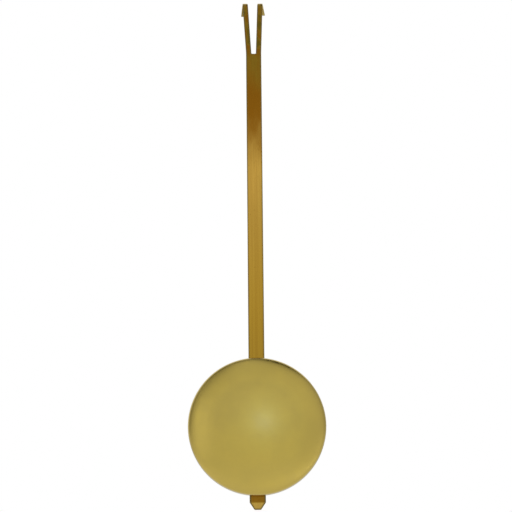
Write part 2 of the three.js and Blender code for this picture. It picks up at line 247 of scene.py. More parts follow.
class Finishes(bpy.types.PropertyGroup):
    """Colours of the metals, in linear light, and how rough they are."""

    stick: colour("Stick", "Rolled brass of the stick", (0.44, 0.265, 0.03))
    stick_upper: colour("Upper stick", "Paler brass below the browned stretch", (0.445, 0.274, 0.05))
    # Browned stick and fork colours: partly real browning, partly painted shade standing in for the dark
    # reflection towards the fork
    stick_brown_and_shade: colour("Browned stick", "Brass that has browned towards the fork", (0.248, 0.1, 0.005))
    stick_fork_and_shade: colour("Fork", "Duller brass of the fork and hooks", (0.248, 0.15, 0.013))
    stick_olive: colour("Olive stick", "Olive tarnish on the fork", (0.105, 0.085, 0.009))
    stick_edge: colour("Stick edges", "Dull brass along the stick's edges", (0.16, 0.12, 0.035))
    # Bright brass: real rubbing where the spring slides, and also a painted highlight on the bent tail tip
    # and on the hooks' crowns
    stick_rubbed_and_highlight: colour("Rubbed stick", "Brass that slides or handling has brightened", (0.56, 0.42, 0.13))
    stick_roughness: factor("Stick roughness", "Roughness of the stick", 0.13)
    bob: colour("Bob", "Satin brass of the bob's face", (0.535, 0.388, 0.027))
    bob_dull: colour("Dull bob", "Brass that has dulled near the rim", (0.42, 0.3, 0.028))
    bob_roughness: factor("Bob roughness", "Roughness of the bob's face, dulled by handling", 0.5)
    rim_roughness: factor("Rim roughness", "Roughness of the bob's face near the rim", 0.305)
    cover: colour("Cover", "Rolled brass of the back cover", (0.4, 0.29, 0.07))
    cover_dull: colour("Dull cover", "Tarnish on the back cover", (0.2, 0.12, 0.03))
    strap: colour("Strap", "Brass of the guide straps", (0.36, 0.25, 0.06))
    rivet: colour("Rivet", "Brass of the rivets", (0.5, 0.37, 0.11))
    spring: colour("Spring", "Hardened steel of the leaf spring", (0.36, 0.335, 0.305))
    iron: colour("Iron", "Cast filling of the bob", (0.07, 0.068, 0.065))
    rust: colour("Rust", "Rust on the cast filling", (0.12, 0.045, 0.018))
    pale_foot: length("Pale foot", "Height above which the stick's brass pales", -0.155)
    # Heights of the darkening towards the fork, which is partly real browning and partly painted shade
    brown_foot: length("Brown foot", "Height above which the stick browns", -0.08)
    brown_top: length("Brown top", "Height at which it is all brown", -0.05)
    dull_foot: length("Dull foot", "Height above which the brown turns dull", -0.047)
    dull_top: length("Dull top", "Height at which it is all dull", -0.026)
    rubbed_foot: length("Rubbed foot", "Lower end of the lane that the spring has rubbed", -0.214)
    rubbed_top: length("Rubbed top", "Upper end of that lane", -0.16)


class StageSettings(bpy.types.PropertyGroup):
    """Camera, light and floor."""

    camera_distance: length("Camera distance", "From the stick to the camera, along Y", 0.7016)
    camera_height: length("Camera height", "Height of the camera", -0.308)
    camera_side: length("Camera side", "Place of the camera along X", 0.00022)
    camera_pitch: angle("Camera pitch", "How far the camera looks up", 15)
    camera_roll: angle("Camera roll", "How far the camera leans", -0.54)
    focal_length: FloatProperty(
        name="Focal length", description="Lens, in millimetres", default=113.9, min=10, unit="CAMERA"
    )
    floor_height: length("Floor height", "Height of the floor", -0.36)
    floor_size: length("Floor size", "Width of the floor", 6)
    floor_colour: colour("Floor colour", "Pale floor", (0.8, 0.8, 0.79))
    ambient: factor("Ambient", "Soft light from all round", 0.65, 5)
    floor_fade: length("Floor fade", "Distance at which the floor starts to fade to white", 0.5)
    floor_white: length("Floor white", "Distance at which the floor is white", 2)
    front_lamp: factor("Front lamp", "Brightness of the lamp that the bob shows", 15.4, 90)
    front_lamp_beam: angle("Front lamp's beam", "Opening of the front lamp's beam", 76)
    front_lamp_size: length("Front lamp's size", "Width of the front lamp", mm(18))
    front_lamp_place: position("Front lamp's place", "Middle of the front lamp", (0.015, -0.211, -0.1595))
    front_lamp_tint: colour("Front lamp's tint", "Colour of the front lamp", (0.69, 1.0, 0.92))
    shadow_lamp: factor("Shadow lamp", "Brightness of the lamp that casts the shadow", 1300, 5000)
    shadow_lamp_size: length("Shadow lamp's size", "Width of the shadow lamp", mm(70))
    shadow_lamp_place: position("Shadow lamp's place", "Middle of the shadow lamp", (-0.444, -1.22, 0.5525))


class Layout:
    """Planes and places that follow from the sizes."""

    def __init__(self, scene):
        stick, bob, clip = scene.pendulum_stick, scene.pendulum_bob, scene.pendulum_clip
        self.hook_radius = stick.pin_diameter / 2 + stick.pin_clearance + stick.strip_gauge / 2
        self.stick_mid = -self.hook_radius
        self.stick_front = self.stick_mid - stick.strip_gauge / 2
        self.stick_back = self.stick_mid + stick.strip_gauge / 2
        self.cover_back = self.stick_front - clip.run_clearance
        self.cover_front = self.cover_back - bob.cover_gauge
        self.lip_back = self.cover_back - bob.lip_sink
        self.flange_back = self.lip_back - bob.shell_gauge
        self.flange_front = self.flange_back - bob.cover_gauge
        self.crimp_centre = self.flange_back - bob.crimp_radius
        self.shoulder_centre = self.crimp_centre - bob.wall_depth
        self.foot_back = self.cover_back + clip.strap_gauge
        self.spring_mid = self.stick_back + clip.spring_clearance + clip.spring_gauge / 2
        self.spring_end = self.spring_mid + clip.spring_bow
        self.bridge_inside = self.spring_end + clip.spring_gauge / 2 + clip.spring_clearance
        self.bob_centre = -bob.drop
        self.tail_crease = self.bob_centre - stick.tail_drop
        self.slot_root = -stick.fork_depth
        self.prong_start = self.slot_root + stick.slot_corner
        self.strap_inside = stick.strip_width / 2 + clip.side_clearance
        self.strap_outside = self.strap_inside + clip.strap_gauge + clip.strap_bend + clip.foot_length
        self.rivet_x = self.strap_outside - clip.foot_length / 2
        self.strap_heights = {
            "upper": self.bob_centre + clip.strap_spacing / 2,
            "lower": self.bob_centre - clip.strap_spacing / 2,
        }


def spread(start, end, steps):
    """Evenly spaced values, both ends included."""
    return [start + (end - start) * i / steps for i in range(steps + 1)]


def arc(centre, radius, start, end, steps):
    """Points on an arc, both ends included."""
    x, y = centre
    return [(x + radius * math.cos(a), y + radius * math.sin(a)) for a in spread(start, end, steps)]


def rounded(corners, steps=4):
    """A line through corners of (x, y, radius), each rounded with its radius."""
    points = []
    last = len(corners) - 1
    for i, (x, y, radius) in enumerate(corners):
        here = Vector((x, y))
        if radius == 0 or i in (0, last):
            points.append((x, y))
            continue
        back = (Vector(corners[i - 1][:2]) - here).normalized()
        ahead = (Vector(corners[i + 1][:2]) - here).normalized()
        half = back.angle(ahead) / 2
        centre = here + (back + ahead).normalized() * radius / math.sin(half)
        start = here + back * radius / math.tan(half) - centre
        end = here + ahead * radius / math.tan(half) - centre
        for share in spread(0, 1, steps):
            spoke = start.lerp(end, share).normalized() * radius
            points.append(tuple(centre + spoke))
    return points


def round_cornered(half_width, half_length, corner, steps):
    """Outline of a blank with four round corners."""
    points = []
    for a, b, quarter in ((1, 1, 0), (-1, 1, 1), (-1, -1, 2), (1, -1, 3)):
        centre = (a * (half_width - corner), b * (half_length - corner))
        points += arc(centre, corner, quarter * QUARTER, (quarter + 1) * QUARTER, steps)
    return points


def sheet_metal(outline, holes, rows, gauge, edge, fold):
    """A blank of sheet metal, cut to an outline with holes, its edges rounded, then bent.

    Points of the flat blank are (across, along). It gets a line of vertices at each of rows,
    which are places along it, and fold turns (across, along, through) into a place in the frame.
    """
    bm = bmesh.new()
    edges = []
    for points in [outline, *holes]:
        verts = [bm.verts.new((*point, 0)) for point in points]
        edges += [bm.edges.new(pair) for pair in zip(verts, verts[1:] + verts[:1])]
    bmesh.ops.triangle_fill(bm, use_beauty=True, edges=edges)
    bmesh.ops.dissolve_limit(bm, angle_limit=0.001, verts=[], edges=bm.edges[:])
    for row in rows:
        parts = bm.verts[:] + bm.edges[:] + bm.faces[:]
        bmesh.ops.bisect_plane(bm, geom=parts, dist=mm(0.0005), plane_co=(0, row, 0), plane_no=(0, 1, 0))
    raised = bmesh.ops.extrude_face_region(bm, geom=bm.faces[:])["geom"]
    top = [part for part in raised if isinstance(part, bmesh.types.BMVert)]
    bmesh.ops.translate(bm, vec=(0, 0, gauge), verts=top)
    bmesh.ops.translate(bm, vec=(0, 0, -gauge / 2), verts=bm.verts[:])
    bmesh.ops.recalc_face_normals(bm, faces=bm.faces[:])
    sharp = [e for e in bm.edges if e.calc_face_angle(0) > EDGE_ANGLE]
    bmesh.ops.bevel(
        bm, geom=sharp, offset=edge, offset_type="OFFSET", segments=3, profile=0.5, affect="EDGES"
    )
    blank = bm.verts.layers.float_vector.new("blank")
    for vert in bm.verts:
        vert[blank] = vert.co
        vert.co = fold(*vert.co)
    return bm


def ring(bm, centre, radius, y, turns):
    """Vertices round an axis along Y, or one vertex where the radius is nothing."""
    on_axis = radius < mm(0.0001)
    points = [centre] if on_axis else arc(centre, radius, 0, math.tau, turns)[:-1]
    return [bm.verts.new((x, y, z)) for x, z in points]


def skin(bm, rings):
    """Faces between each ring and the next."""
    for a, b in zip(rings, rings[1:]):
        turns = max(len(a), len(b))
        for i in range(turns):
            k = (i + 1) % turns
            corners = [a[i % len(a)], a[k % len(a)], b[k % len(b)], b[i % len(b)]]
            bm.faces.new(list(dict.fromkeys(corners)))


def revolved(profile, centre, turns):
    """A solid of revolution round an axis along Y, from a profile of (radius, y)."""
    bm = bmesh.new()
    skin(bm, [ring(bm, centre, radius, y, turns) for radius, y in profile])
    return bm


def turned_outward(bm):
    """Makes all faces of a closed mesh look outward, however thin and bent it is."""
    bmesh.ops.recalc_face_normals(bm, faces=bm.faces[:])
    if bm.calc_volume(signed=True) < 0:
        bmesh.ops.reverse_faces(bm, faces=bm.faces[:])


def linked(name, data):
    """A new object in the scene."""
    made = bpy.data.objects.new(name, data)
    bpy.context.scene.collection.objects.link(made)
    return made


def piece(name, bm, body, node, material):
    """A finished piece: it rides on its CAD body and stands for its CAD node."""
    turned_outward(bm)
    mesh = bpy.data.meshes.new(name)
    bm.to_mesh(mesh)
    bm.free()
    mesh.shade_smooth()
    mesh.set_sharp_from_angle(angle=SHARP_ANGLE)
    mesh.materials.append(material)
    made = linked(name, mesh)
    even = made.modifiers.new("Even shading", "WEIGHTED_NORMAL")
    even.keep_sharp = True
    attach(made, body)
    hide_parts(node)
    return made


class Nodes:
    """A node tree being made."""

    def __init__(self, tree):
        self.tree = tree

    def add(self, kind, inputs, output=0, **settings):
        """Adds a node, sets or links its inputs, and returns one of its outputs as a field."""
        node = self.tree.nodes.new("ShaderNode" + kind)
        for key, value in settings.items():
            setattr(node, key, value)
        for key, value in inputs.items():
            if isinstance(value, Field):
                self.tree.links.new(value.socket, node.inputs[key])
            else:
                node.inputs[key].default_value = value
        return Field(self, node.outputs[output])

    def math(self, operation, a, b=0.0):
        """One sum of two values."""
        return self.add("Math", {0: a, 1: b}, operation=operation)

    def show(self, shader, output="Material Output"):
        """Makes a shader the tree's surface."""
        self.tree.links.new(shader.socket, self.tree.nodes[output].inputs["Surface"])


def sum_node(operation):
    """A method that joins a field to another value by a Math node."""
    return lambda field, other=0.0: field.nodes.math(operation, field, other)


class Field:
    """A node's output: a value that differs from place to place. Sums with it add nodes."""

    __add__ = sum_node("ADD")
    __sub__ = sum_node("SUBTRACT")
    __mul__ = sum_node("MULTIPLY")
    __truediv__ = sum_node("DIVIDE")
    __abs__ = sum_node("ABSOLUTE")
    least = sum_node("MINIMUM")
    most = sum_node("MAXIMUM")
    root = sum_node("SQRT")

    def __init__(self, nodes, socket):
        self.nodes = nodes
        self.socket = socket

    def __rsub__(self, other):
        return self.nodes.math("SUBTRACT", other, self)

    def step(self, low, high, start=0.0, end=1.0):
        """A smooth rise from start to end as this goes from low to high."""
        inputs = {0: self, 1: low, 2: high, 3: start, 4: end}
        return self.nodes.add("MapRange", inputs, interpolation_type="SMOOTHSTEP")

    def band(self, low, high, soft):
        """1 between low and high and 0 outside, with soft edges."""
        return self.step(low - soft, low) * self.step(high, high + soft, 1.0, 0.0)

    def between(self, start, end):
        """Turns what goes from 0 to 1 into what goes from start to end."""
        return self * (end - start) + start

    def blend(self, a, b):
        """Value a, going over to value b as this goes from 0 to 1."""
        return self.nodes.add("Mix", {0: self, 2: a, 3: b})

    def mix(self, a, b):
        """Colour a, going over to colour b as this goes from 0 to 1."""
        a, b = (end if isinstance(end, Field) else (*end, 1) for end in (a, b))
        return self.nodes.add("Mix", {0: self, 6: a, 7: b}, 2, data_type="RGBA")

    def bump(self, depth, under=None):
        """Relief of that depth in metres, over another relief."""
        inputs = {"Height": self, "Distance": depth, "Strength": 1.0}
        if under is not None:
            inputs["Normal"] = under
        return self.nodes.add("Bump", inputs)

    def axes(self):
        """The three parts of a vector."""
        parts = self.nodes.add("SeparateXYZ", {0: self}).socket.node.outputs
        return [Field(self.nodes, part) for part in parts]

    def noise(self, detail, rough):
        """Noise at this place, with about one grain to the unit."""
        inputs = {"Vector": self, "Scale": 1.0, "Detail": detail, "Roughness": rough}
        return self.nodes.add("TexNoise", inputs)

    def grain(self, count, detail=2.0, rough=0.5):
        """Noise with that count of grains to the metre: one number, or one for each axis."""
        counts = count if isinstance(count, tuple) else (count,) * 3
        return self.nodes.add("VectorMath", {0: self, 1: counts}, operation="MULTIPLY").noise(detail, rough)


class Finish(Nodes):
    """A material being made: its node tree and its shader."""

    def __init__(self, name):
        self.material = bpy.data.materials.new(name)
        self.material.use_nodes = True
        super().__init__(self.material.node_tree)
        self.shader = self.tree.nodes["Principled BSDF"]

    def flat(self):
        """Where a point lay on the flat blank, before bending."""
        return self.add("Attribute", {}, "Vector", attribute_name="blank")

    def place(self):
        """Where a point is on the piece."""
        return self.add("TexCoord", {}, "Object")

    def finish(self, colour, roughness, normal, constants=METAL):
        """Links colour, roughness and relief to the shader, and sets its constants."""
        for key, value in {"Base Color": colour, "Roughness": roughness, "Normal": normal}.items():
            self.tree.links.new(value.socket, self.shader.inputs[key])
        for key, value in constants.items():
            self.shader.inputs[key].default_value = value
        return self.material


def shaded(colour, share):
    """A darker or lighter colour."""
    return tuple(share * part for part in colour)


def turned(layout, place, fineness, wander):
    """Distance from the bob's axis, and rings of turning round it: fineness in lines to the metre."""
    x, _, z = place.axes()
    z = z - layout.bob_centre
    radius = (x * x + z * z).root()
    safe = radius.most(mm(0.01))
    parts = {0: radius * fineness, 1: x / safe * wander, 2: z / safe * wander}
    return radius, place.nodes.add("CombineXYZ", parts).noise(3.0, 0.6)


def stick_edge(sizes, layout, across, along):
    """How far a point of the stick's blank is from the nearest edge, in metres."""
    half, tip = sizes.strip_width / 2, sizes.tip_width / 2
    crease, root = layout.tail_crease, layout.slot_root
    end = crease - sizes.tip_length
    width = across.nodes.add("MapRange", {0: along, 1: end, 2: crease, 3: tip, 4: half})
    off = abs(across)
    inner = off - sizes.slot_width / 2 + along.step(root - mm(0.5), root, half, 0.0)
    return (width - off).least(inner).least(along - end)


def stick_brass(scene, layout):
    """Rolled brass strip: drawn grain along it, browned and painted in shade towards the fork, rubbed behind
    by the spring, with a painted shadow on the tail under the bob and painted highlights on the tail's tip
    and the hooks' crowns.
    """
    c, sizes = scene.pendulum_finish, scene.pendulum_stick
    crease, root = layout.tail_crease, layout.slot_root
    f = Finish("Stick brass")
    flat = f.flat()
    across, along, through = flat.axes()
    grain = flat.grain((5200, 60, 5200), 3.0, 0.6)
    streak = flat.grain((1100, 14, 1100))
    cloud = flat.grain((160, 55, 160), 4.0, 0.6)
    blotch = flat.grain((330, 170, 330))
    speck = flat.grain((1500, 1300, 1500), 3.0, 0.7)

    # Painted shade, in part: towards the fork the colour turns browner and darker, partly real browning and
    # partly standing in for the dark reflection above
    wandered = along + (cloud - 0.5) * mm(30)
    tone = along.step(c.pale_foot, c.brown_foot).mix(c.stick, c.stick_upper)
    brown = wandered.step(c.dull_foot, c.dull_top).mix(c.stick_brown_and_shade, c.stick_fork_and_shade)
    colour = wandered.step(c.brown_foot, c.brown_top, 0.0, 0.97).mix(tone, brown)
    # Painted shadow: the tail just below the bob's rim is darkened towards brown, where the bob shades it
    painted_shadow_under_bob = along.band(crease + mm(0.3), layout.bob_centre - mm(26), mm(0.4))
    colour = (painted_shadow_under_bob * 0.68).mix(colour, c.stick_brown_and_shade)
    colour = streak.step(0.38, 0.62, 0.17, 0.0).mix(colour, c.stick_brown_and_shade)
    fork = along.step(root - mm(4), root + mm(2))
    colour = (fork * blotch.step(0.5, 0.58, 0.0, 0.85)).mix(colour, c.stick_brown_and_shade)
    colour = (fork * blotch.step(0.4, 0.49, 0.6, 0.0)).mix(colour, c.stick_olive)
    colour = speck.step(0.62, 0.75, 0.0, 0.5).mix(colour, shaded(c.stick_brown_and_shade, 0.7))

    tail = along.step(crease + mm(2), crease + mm(5), 1.0, 0.0)
    # Painted highlight: the bent tip below the crease is lightened towards bright brass
    colour = along.step(crease - mm(0.3), crease, 0.3, 0.0).mix(colour, c.stick_rubbed_and_highlight)
    edge = stick_edge(sizes, layout, across, along) + cloud * mm(0.4)
    creep = (edge - tail * mm(0.2)).step(mm(0.3), mm(1.1), 1.0, 0.0) * tail.between(0.75, 0.95)
    colour = creep.mix(colour, c.stick_edge)

    behind = through.step(0.0, sizes.strip_gauge / 2)
    lane = abs(across).step(mm(1.2), mm(2.4), 1.0, 0.0)
    run = along.band(c.rubbed_foot, c.rubbed_top, mm(10))
    hooks = along.step(mm(-0.5), mm(0.5)) * across.step(mm(-1), mm(1), 0.6, 1.4)
    # The hooks' crowns are lightened towards bright brass: partly real rubbing on the pin, partly a painted
    # highlight of light from above
    crown_wear_and_highlight = along.band(mm(0.6), mm(4.4), mm(0.45)) * 0.9
    rubbed = (behind * (lane * run).most(hooks)).most(crown_wear_and_highlight) * grain.step(0.35, 0.6, 0.45, 0.95)
    colour = rubbed.mix(colour, c.stick_rubbed_and_highlight)

    rough = grain.step(0.3, 0.7, -0.03, 0.05) + c.stick_roughness
    rough = rough + wandered.step(c.brown_foot + mm(2), c.brown_top + mm(4), 0.0, 0.06)
    relief = cloud.bump(mm(0.006), grain.bump(mm(0.0012)))
    relief = speck.step(0.66, 0.78, 1.0, 0.0).bump(mm(0.004), relief)
    return f.finish(colour, rough - rubbed * 0.05, relief)


def bob_brass(scene, layout):
    """Satin brass under old lacquer: faint polishing rings, soft smudges and a duller rim."""
    c, half = scene.pendulum_finish, scene.pendulum_bob.diameter / 2
    f = Finish("Bob brass")
    place = f.place()
    radius, rings = turned(layout, place, 2600, 3)
    cloud = place.grain(70, 4.0, 0.55)
    smudge = place.grain(240, 3.0, 0.6)
    speck = place.grain(1700, 2.0, 0.6)
    scratch = place.grain((900, 900, 42), 2.0, 0.7)

    tone = cloud.step(0.3, 0.7).mix(shaded(c.bob, 0.965), shaded(c.bob, 1.03))
    # Painted shade: the colour darkens by up to 7% from 16 to 24 mm out, evening out the brighter gloss
    # where the rim is smoother
    tone = radius.step(mm(16), mm(24), 0.0, 0.07).mix(tone, (0, 0, 0))
    rim = (radius + smudge * mm(1.2)).step(half - mm(3.6), half + mm(0.6))
    colour = (rim * 0.4).mix(tone, c.bob_dull)
    colour = speck.step(0.7, 0.8, 0.0, 0.5).mix(colour, c.bob_dull)
    handled = radius.step(mm(17), mm(23), c.bob_roughness, c.rim_roughness)
    rough = smudge.step(0.3, 0.7, -0.03, 0.035) + handled + scratch.step(0.68, 0.76, 0.0, 0.05)
    relief = smudge.bump(mm(0.004), rings.bump(mm(0.0006)))
    relief = scratch.step(0.68, 0.78, 1.0, 0.0).bump(mm(0.0008), relief)
    lacquer = {"Coat Weight": 1.0, "Coat Roughness": 0.3, "Coat IOR": 1.7}
    return f.finish(colour, rough, relief, METAL | lacquer)


def cover_brass(scene, layout):
    """Rolled brass disc, turned in the middle, tarnished where hands don't reach."""
    c = scene.pendulum_finish
    f = Finish("Cover brass")
    place = f.place()
    _, rings = turned(layout, place, 3000, 2)
    tarnish = place.grain(95, 5.0, 0.6).step(0.35, 0.75, 0.05, 0.5)
    speck = place.grain(1400, 2.0, 0.6)
    scratch = place.grain((1300, 1300, 30), 2.0, 0.7)
    colour = tarnish.mix(c.cover, c.cover_dull)
    colour = speck.step(0.66, 0.76, 0.0, 0.6).mix(colour, c.cover_dull)
    colour = scratch.step(0.64, 0.72, 0.0, 0.45).mix(colour, c.rivet)
    rough = tarnish * 0.14 + rings.step(0.3, 0.7, 0.26, 0.34)
    relief = scratch.step(0.64, 0.74, 1.0, 0.0).bump(mm(0.002), rings.bump(mm(0.0015)))
    return f.finish(colour, rough, relief)


def strap_brass(scene):
    """Brass strap: rolling grain across the stick and bright sheared edges."""
    c, half = scene.pendulum_finish, scene.pendulum_clip.strap_gauge / 2
    f = Finish("Strap brass")
    flat = f.flat()
    _, _, through = flat.axes()
    grain = flat.grain((4800, 90, 4800), 3.0, 0.6)
    cloud = flat.grain(260, 4.0, 0.6)
    speck = flat.grain(1900, 2.0, 0.6)
    tone = cloud.step(0.3, 0.72).mix(c.strap, c.cover_dull)
    edge = abs(through).step(half - mm(0.02), half, 1.0, 0.0)
    colour = (edge * 0.6).mix(tone, c.rivet)
    colour = speck.step(0.68, 0.78, 0.0, 0.6).mix(colour, shaded(c.cover_dull, 0.6))
    relief = cloud.bump(mm(0.006), grain.bump(mm(0.0025)))
    return f.finish(colour, grain.step(0.3, 0.7, 0.3, 0.44), relief)


def rivet_brass(scene):
    """Set rivet heads: a little bright, with the marks of the hammer."""
    c = scene.pendulum_finish
    f = Finish("Rivet brass")
    place = f.place()
    cells = {"Vector": place, "Scale": 1500.0, "Randomness": 1.0}
    dent = f.add("TexVoronoi", cells, feature="SMOOTH_F1")
    cloud = place.grain(600, 3.0, 0.6)
    scratch = place.grain((5200, 5200, 300), 2.0, 0.6)
    colour = cloud.step(0.35, 0.7, 0.0, 0.7).mix(c.rivet, c.strap)
    colour = dent.step(0.45, 0.8, 0.0, 0.5).mix(colour, c.cover_dull)
    relief = scratch.bump(mm(0.0015), dent.bump(mm(0.04)))
    return f.finish(colour, scratch.step(0.3, 0.7, 0.24, 0.4), relief)


def spring_steel(scene):
    """Hardened spring steel: ground along its length, and rubbed bright in the middle."""
    c = scene.pendulum_finish
    f = Finish("Spring steel")
    flat = f.flat()
    _, along, _ = flat.axes()
    grain = flat.grain((7000, 120, 7000), 3.0, 0.6)
    cloud = flat.grain((300, 120, 300), 4.0, 0.6)
    speck = flat.grain(1800, 2.0, 0.6)
    colour = cloud.step(0.3, 0.7).mix(c.spring, shaded(c.spring, 0.72))
    colour = grain.step(0.55, 0.75, 0.0, 0.4).mix(colour, shaded(c.spring, 1.5))
    colour = speck.step(0.68, 0.76, 0.0, 0.7).mix(colour, c.rust)
    rough = grain.step(0.3, 0.7, 0.2, 0.34) + abs(along).step(mm(12), mm(21), 0.0, 0.05)
    relief = speck.step(0.68, 0.76, 1.0, 0.0).bump(mm(0.004), grain.bump(mm(0.002)))
    return f.finish(colour, rough, relief)


def cast_iron(scene):
    """Rough cast filling, with sand grain, small pits and a little rust."""
    c = scene.pendulum_finish
    f = Finish("Cast iron")
    place = f.place()
    sand = place.grain(2200, 4.0, 0.65)
    lumps = place.grain(420, 3.0, 0.6)
    pit = f.add("TexVoronoi", {"Vector": place, "Scale": 520.0, "Randomness": 1.0})
    rusty = place.grain(130, 5.0, 0.65).step(0.5, 0.7, 0.0, 0.8)
    colour = sand.step(0.3, 0.7).mix(shaded(c.iron, 0.7), shaded(c.iron, 1.5))
    rough = sand.step(0.3, 0.7, 0.6, 0.78) + rusty * 0.15
    relief = lumps.bump(mm(0.08), sand.bump(mm(0.03)))
    relief = pit.step(0.05, 0.3).bump(mm(0.06), relief)
    return f.finish(rusty.mix(colour, c.rust), rough, relief, {"Metallic": 0.75})


def stick_outline(sizes, layout):
    """Outline of the stick's flat blank, from the tail's end up the right side and down the left."""
    half, slot = sizes.strip_width / 2, sizes.slot_width / 2
    tip, rounding = sizes.tip_width / 2, sizes.tip_rounding
    end = layout.tail_crease - sizes.tip_length
    hook = math.pi * layout.hook_radius
    corner = rounded([(0, end, 0), (tip, end, rounding), (half, layout.tail_crease, 0)], BEND_STEPS)
    root = arc((slot - sizes.slot_corner, layout.prong_start), sizes.slot_corner, 0, -QUARTER, BEND_STEPS)

    def side(leg):
        return [*corner[1:], (half, hook + leg), (slot, hook + leg), *root]

    left = [(-x, y) for x, y in side(sizes.left_leg)]
    return side(sizes.right_leg) + left[::-1]


def stick_fold(sizes, layout):
    """How the stick's flat blank is bent: hooks over the pin, leaning prongs, tail bent back."""
    radius, mid = layout.hook_radius, layout.stick_mid
    tail_radius = sizes.tail_bend_radius + sizes.strip_gauge / 2
    leans = {
        -1: (sizes.left_prong_lean, sizes.left_leg_lean),
        1: (sizes.right_prong_lean, sizes.right_leg_lean),
    }

    def shift(side, along):
        prong, leg = leans[side]
        moved = (min(along, 0) - layout.prong_start) * math.tan(prong)
        turn = min(max(along / radius, 0), math.pi)
        here = prong + (leg - prong) * turn / math.pi
        moved += radius * math.pi / (leg - prong) * (math.log(math.cos(prong)) - math.log(math.cos(here)))
        return moved + max(along - math.pi * radius, 0) * math.tan(leg)

    def fold(across, along, through):
        if along > layout.prong_start:
            side = 1 if across > 0 else -1
            across += side * shift(side, along)
        if along > 0:
            turn = min(along / radius, math.pi)
            leg = along - radius * turn
            near = radius - through
            return (across, -near * math.cos(turn), near * math.sin(turn) - leg)
        if along < layout.tail_crease:
            down = layout.tail_crease - along
            turn = min(down / tail_radius, sizes.tail_bend)
            rest = down - tail_radius * turn
            near = tail_radius - through
            y = mid + tail_radius - near * math.cos(turn) + rest * math.sin(turn)
            return (across, y, layout.tail_crease - near * math.sin(turn) - rest * math.cos(turn))
        return (across, mid + through, along)

    return fold


def face_profile(sizes, layout, inset):
    """Profile of the bob's face, from the axis out to the side wall.

    The wide dome bends over ever more tightly into the side wall, without an edge where the
    shoulder starts.
    """
    half = sizes.diameter / 2
    shoulder = half - sizes.shoulder_radius
    slope = math.asin(shoulder / (sizes.dome_radius - sizes.shoulder_radius))
    depth = sizes.dome_radius - (sizes.dome_radius - sizes.shoulder_radius) * math.cos(slope)
    apex = layout.shoulder_centre - depth
    start = math.asin(sizes.shoulder_start / sizes.dome_radius)
    centre = (0, apex + sizes.dome_radius)
    dome = arc(centre, sizes.dome_radius - inset, -QUARTER, start - QUARTER, DOME_STEPS)
    turns = spread(start, QUARTER, SHOULDER_STEPS)
    low, high = LEAST_FALL, MOST_FALL
    for _ in range(HALVINGS):
        fall = (low + high) / 2
        path = shoulder_path(turns, sizes.shoulder_end, sizes.dome_radius, fall)
        low, high = (fall, high) if sizes.shoulder_start + path[-1][0] > half else (low, fall)
    points = []
    for turn, (out, down) in zip(turns[1:], path[1:]):
        radius = sizes.shoulder_start + out - inset * math.sin(turn)
        y = apex + sizes.dome_radius * (1 - math.cos(start)) + down + inset * math.cos(turn)
        points.append((radius, y))
    return dome + points


def shoulder_path(turns, tight, wide, fall):
    """Steps out and down along a curve whose radius falls from wide to tight as it turns."""
    path = [(0.0, 0.0)]
    span = turns[-1] - turns[0]
    for a, b in zip(turns, turns[1:]):
        middle = (a + b) / 2
        radius = tight + (wide - tight) * ((turns[-1] - middle) / span) ** fall
        out = path[-1][0] + radius * (math.sin(b) - math.sin(a))
        down = path[-1][1] + radius * (math.cos(a) - math.cos(b))
        path.append((out, down))
    return path


def shell_profile(sizes, layout):
    """Closed profile of the pressed face: outside, crimp and lip, then back along the inside."""
    gauge, half = sizes.shell_gauge, sizes.diameter / 2
    outside = sizes.crimp_radius + gauge
    centre = (half - outside, layout.crimp_centre)
    lip = half - sizes.lip_width
    lip_end = rounded(
        [
            (centre[0], layout.lip_back, 0),
            (lip, layout.lip_back, LIP_BACK),
            (lip, layout.flange_back, LIP_FRONT),
            (centre[0], layout.flange_back, 0),
        ]
    )
    crimp = arc(centre, sizes.crimp_radius, 0, QUARTER, BEND_STEPS)
    inside = face_profile(sizes, layout, gauge) + crimp
    rim = face_profile(sizes, layout, 0) + arc(centre, outside, 0, QUARTER, RIM_STEPS)
    return rim + lip_end[1:-1] + inside[::-1]


def cover_solid(sizes, layout, hole_radius):
    """The back cover: a turned flange and step round a flat middle that has a hole for each rivet."""
    bm = bmesh.new()
    edge = sizes.diameter / 2 - sizes.shell_gauge - sizes.crimp_radius - sizes.cover_clearance
    step = sizes.diameter / 2 - sizes.lip_width - sizes.joggle_clearance
    gauge = sizes.cover_gauge
    inner = step - sizes.joggle_width - 3 * gauge
    profile = rounded(
        [
            (inner, layout.cover_back, 0),
            (step - sizes.joggle_width, layout.cover_back, STEP_WIDE),
            (step, layout.flange_back, STEP_TIGHT),
            (edge, layout.flange_back, COVER_EDGE),
            (edge, layout.flange_front, COVER_EDGE),
            (step - gauge, layout.flange_front, STEP_WIDE),
            (step - sizes.joggle_width - gauge, layout.cover_front, STEP_TIGHT),
            (inner, layout.cover_front, 0),
        ]
    )
    centre = (0, layout.bob_centre)
    rings = [ring(bm, centre, radius, y, sizes.turns) for radius, y in profile]
    skin(bm, rings)
    places = [(x, z) for x in (-layout.rivet_x, layout.rivet_x) for z in layout.strap_heights.values()]
    levels = []
    for outer, y in ((rings[0], layout.cover_back), (rings[-1], layout.cover_front)):
        holes = [ring(bm, place, hole_radius, y, HOLE_TURNS) for place in places]
        loops = [bm.edges.get(pair) for pair in zip(outer, outer[1:] + outer[:1])]
        for hole in holes:
            loops += [bm.edges.new(pair) for pair in zip(hole, hole[1:] + hole[:1])]
        bmesh.ops.triangle_fill(bm, use_beauty=True, edges=loops)
        levels.append(holes)
    for back, front in zip(*levels):
        skin(bm, [back, front])
    return bm


